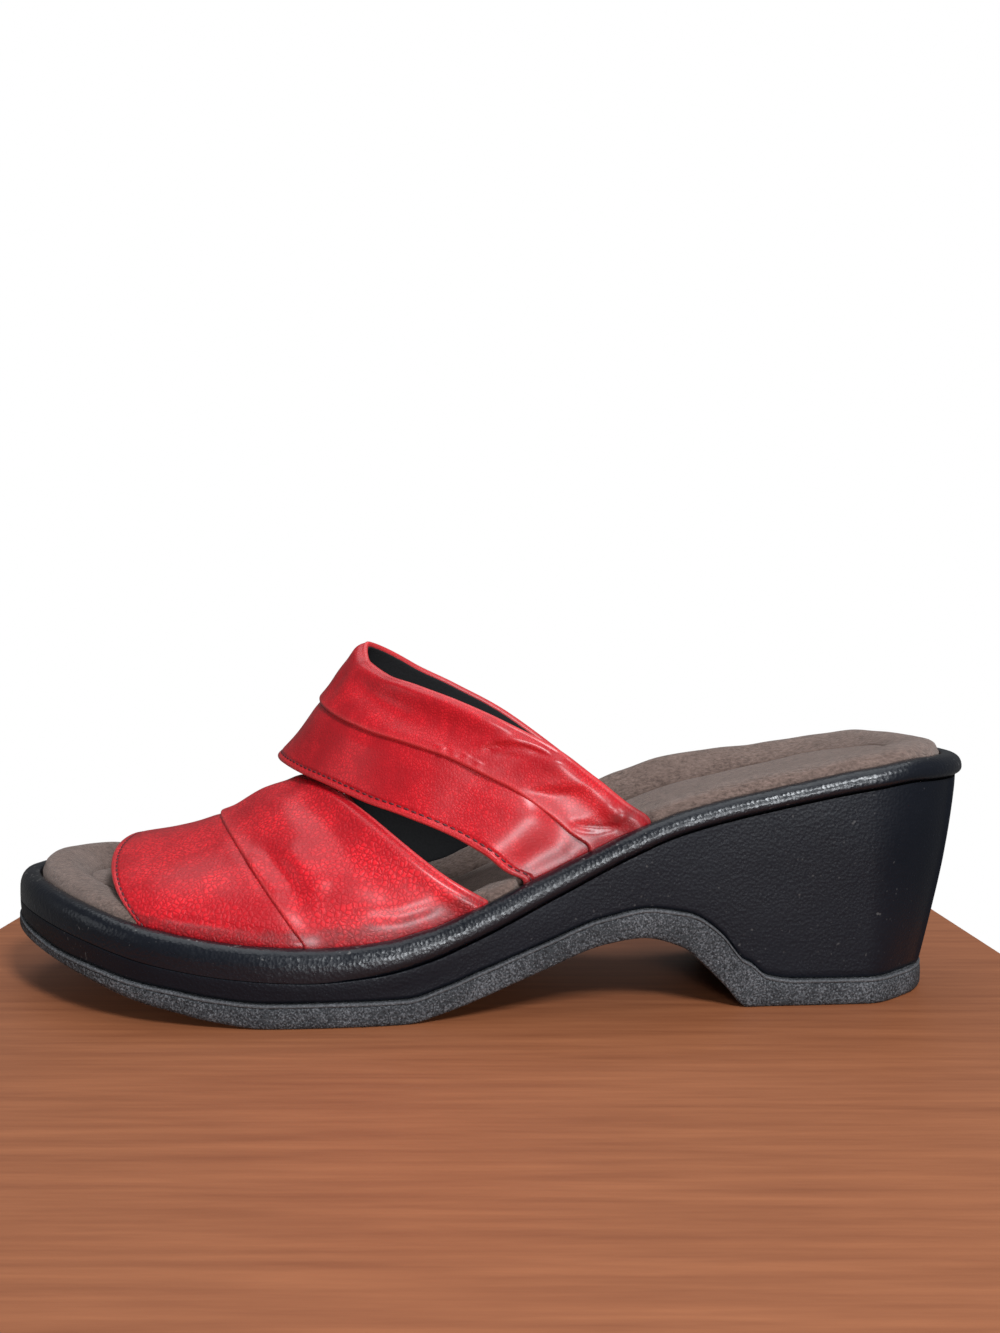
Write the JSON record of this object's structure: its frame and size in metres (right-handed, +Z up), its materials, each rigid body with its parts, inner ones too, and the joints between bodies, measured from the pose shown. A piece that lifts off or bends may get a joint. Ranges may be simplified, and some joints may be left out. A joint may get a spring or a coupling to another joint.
{
  "type": "platform wedge sandal",
  "caption": "Open-toe, open-back slip-on sandal with a leather strap upper, padded footbed, rolled edge and leather-wrapped wedge on a rubber outsole.",
  "frame": {"origin": "centre of the bounding box seen from above, on the ground under the shoe", "axes": "+X from toe to heel, +Y towards the inner (big-toe) side, +Z up; the shoe stands on z = 0"},
  "size_m": [0.2599, 0.0938, 0.0927],
  "materials": {
    "outsole_rubber": "matt pebbled rubber",
    "wedge_leather": "black smooth leather, soft sheen",
    "footbed_suede": "taupe suede, matt",
    "upper_leather": "red smooth leather, semi-gloss"
  },
  "bodies": {
    "root": {"outsole": "outsole_rubber", "wedge": "wedge_leather", "rand": "wedge_leather", "footbed": "footbed_suede", "sock_liner": "footbed_suede", "upper": "upper_leather"}
  },
  "joints": []
}
